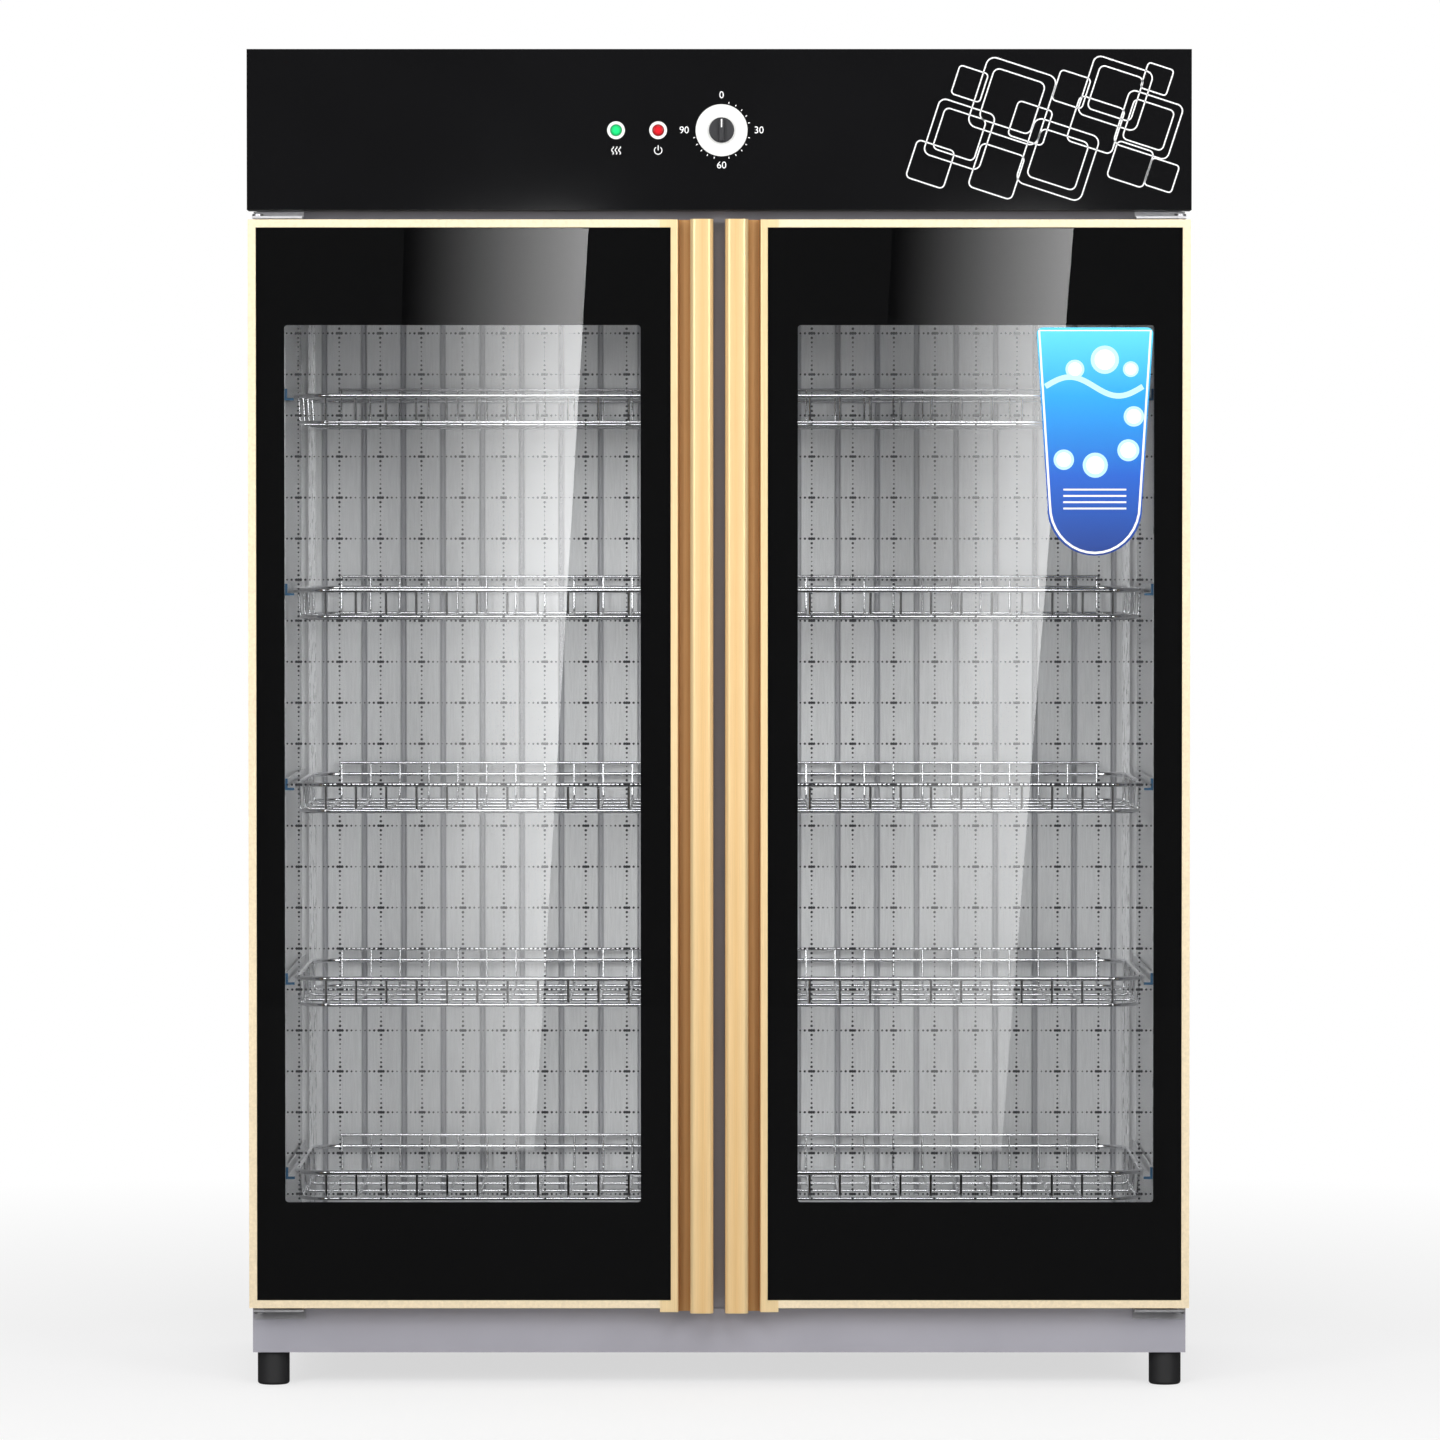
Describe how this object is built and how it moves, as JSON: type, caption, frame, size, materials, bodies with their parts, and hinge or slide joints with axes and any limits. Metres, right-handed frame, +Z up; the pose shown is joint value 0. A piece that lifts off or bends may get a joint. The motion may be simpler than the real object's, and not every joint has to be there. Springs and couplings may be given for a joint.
{
  "type": "dish sterilizer cabinet",
  "caption": "Tall warm-air dish cabinet with two black-bordered glass doors in a gold frame, wire baskets on runners, a fascia with lamps and a timer knob.",
  "frame": {"origin": "on the floor, in the middle of the cabinet's width and depth", "axes": "+Z up; the doors and the fascia face -Y; +X to the right seen from the front"},
  "size_m": [1.2, 0.6, 1.706],
  "materials": {
    "painted_white_metal": "satin",
    "grey_paint": "satin",
    "black_metal": "satin",
    "gold_aluminium": "satin anodised",
    "stainless": "brushed",
    "bright_wire": "polished",
    "zinc_steel": "zinc plated",
    "clear_glass": "clear",
    "black_glass": "gloss",
    "black_print": "gloss",
    "black_rubber": "matt",
    "seal_rubber": "matt",
    "black_plastic": "satin",
    "white_plastic": "gloss",
    "green_lens": "clear gloss",
    "red_lens": "clear gloss",
    "label_film": "gloss film",
    "mineral_wool": "matt",
    "motor_steel": "satin",
    "blue_plastic": "gloss"
  },
  "bodies": {
    "cabinet": {"feet": "black_rubber", "plinth_frame": "grey_paint", "base_pan": "grey_paint", "left_side_panel": "grey_paint", "right_side_panel": "grey_paint", "rear_panel": "zinc_steel", "top_panel": "grey_paint", "front_stiles": "grey_paint", "top_front_rail": "grey_paint", "centre_mullion": "grey_paint", "side_liners": "stainless", "back_liner": "stainless", "floor_liner": "stainless", "ceiling_liner": "stainless", "insulation_slabs": "mineral_wool", "fan_motor": "motor_steel", "fan_grille": "stainless", "heating_elements": "stainless", "heater_guard": "stainless", "rack_posts": "stainless", "basket_runners": "stainless", "runner_caps": "blue_plastic", "hinge_brackets": "zinc_steel", "hinge_pins": "zinc_steel", "screws": "zinc_steel", "fascia_tray": "black_metal", "fascia_glass": "black_glass", "lamp_bezels": "white_plastic", "green_lamp_lens": "green_lens", "red_lamp_lens": "red_lens", "timer_body": "black_plastic", "timer_dial": "white_plastic", "thermostat": "black_plastic", "terminal_block": "white_plastic", "cord_gland": "black_plastic"},
    "left_door": {"left_door_frame": "gold_aluminium", "left_handle_stile": "gold_aluminium", "left_handle_caps": "gold_aluminium", "left_door_glass": "clear_glass", "left_glass_border": "black_print", "left_door_gasket": "seal_rubber"},
    "right_door": {"right_door_frame": "gold_aluminium", "right_handle_stile": "gold_aluminium", "right_handle_caps": "gold_aluminium", "right_door_glass": "clear_glass", "right_glass_border": "black_print", "right_door_gasket": "seal_rubber", "door_label": "label_film"},
    "timer_knob": {"timer_knob": "black_plastic"},
    "fan_wheel": {"fan_wheel": "zinc_steel"},
    "left_basket_1": {"left_basket_1": "bright_wire"},
    "left_basket_2": {"left_basket_2": "bright_wire"},
    "left_basket_3": {"left_basket_3": "bright_wire"},
    "left_basket_4": {"left_basket_4": "bright_wire"},
    "left_basket_5": {"left_basket_5": "bright_wire"},
    "right_basket_1": {"right_basket_1": "bright_wire"},
    "right_basket_2": {"right_basket_2": "bright_wire"},
    "right_basket_3": {"right_basket_3": "bright_wire"},
    "right_basket_4": {"right_basket_4": "bright_wire"},
    "right_basket_5": {"right_basket_5": "bright_wire"}
  },
  "joints": [
    {"name": "left_door_hinge", "type": "hinge", "parent": "cabinet", "child": "left_door", "pos_m": [-0.587, -0.264, 0.1], "axis": [0, 0, -1], "range_deg": [0, 120]},
    {"name": "right_door_hinge", "type": "hinge", "parent": "cabinet", "child": "right_door", "pos_m": [0.587, -0.264, 0.1], "axis": [0, 0, 1], "range_deg": [0, 120]},
    {"name": "timer_turn", "type": "hinge", "parent": "cabinet", "child": "timer_knob", "pos_m": [0.003, -0.285, 1.603], "axis": [0, 1, 0], "range_deg": [0, 270]},
    {"name": "fan_spin", "type": "hinge", "parent": "cabinet", "child": "fan_wheel", "pos_m": [0, 0.04, 1.43], "axis": [0, 0, 1], "continuous": true},
    {"name": "left_basket_1_slide", "type": "slide", "parent": "cabinet", "child": "left_basket_1", "axis": [0, -1, 0], "range_m": [0, 0.199]},
    {"name": "left_basket_2_slide", "type": "slide", "parent": "cabinet", "child": "left_basket_2", "axis": [0, -1, 0], "range_m": [0, 0.199]},
    {"name": "left_basket_3_slide", "type": "slide", "parent": "cabinet", "child": "left_basket_3", "axis": [0, -1, 0], "range_m": [0, 0.199]},
    {"name": "left_basket_4_slide", "type": "slide", "parent": "cabinet", "child": "left_basket_4", "axis": [0, -1, 0], "range_m": [0, 0.199]},
    {"name": "left_basket_5_slide", "type": "slide", "parent": "cabinet", "child": "left_basket_5", "axis": [0, -1, 0], "range_m": [0, 0.199]},
    {"name": "right_basket_1_slide", "type": "slide", "parent": "cabinet", "child": "right_basket_1", "axis": [0, -1, 0], "range_m": [0, 0.199]},
    {"name": "right_basket_2_slide", "type": "slide", "parent": "cabinet", "child": "right_basket_2", "axis": [0, -1, 0], "range_m": [0, 0.199]},
    {"name": "right_basket_3_slide", "type": "slide", "parent": "cabinet", "child": "right_basket_3", "axis": [0, -1, 0], "range_m": [0, 0.199]},
    {"name": "right_basket_4_slide", "type": "slide", "parent": "cabinet", "child": "right_basket_4", "axis": [0, -1, 0], "range_m": [0, 0.199]},
    {"name": "right_basket_5_slide", "type": "slide", "parent": "cabinet", "child": "right_basket_5", "axis": [0, -1, 0], "range_m": [0, 0.199]}
  ],
  "couplings": [
    {"joint": "left_basket_1_slide", "follows": "left_door_hinge", "m_per_rad": 0.095},
    {"joint": "left_basket_2_slide", "follows": "left_door_hinge", "m_per_rad": 0.095},
    {"joint": "left_basket_3_slide", "follows": "left_door_hinge", "m_per_rad": 0.095},
    {"joint": "left_basket_4_slide", "follows": "left_door_hinge", "m_per_rad": 0.095},
    {"joint": "left_basket_5_slide", "follows": "left_door_hinge", "m_per_rad": 0.095},
    {"joint": "right_basket_1_slide", "follows": "right_door_hinge", "m_per_rad": 0.095},
    {"joint": "right_basket_2_slide", "follows": "right_door_hinge", "m_per_rad": 0.095},
    {"joint": "right_basket_3_slide", "follows": "right_door_hinge", "m_per_rad": 0.095},
    {"joint": "right_basket_4_slide", "follows": "right_door_hinge", "m_per_rad": 0.095},
    {"joint": "right_basket_5_slide", "follows": "right_door_hinge", "m_per_rad": 0.095}
  ]
}
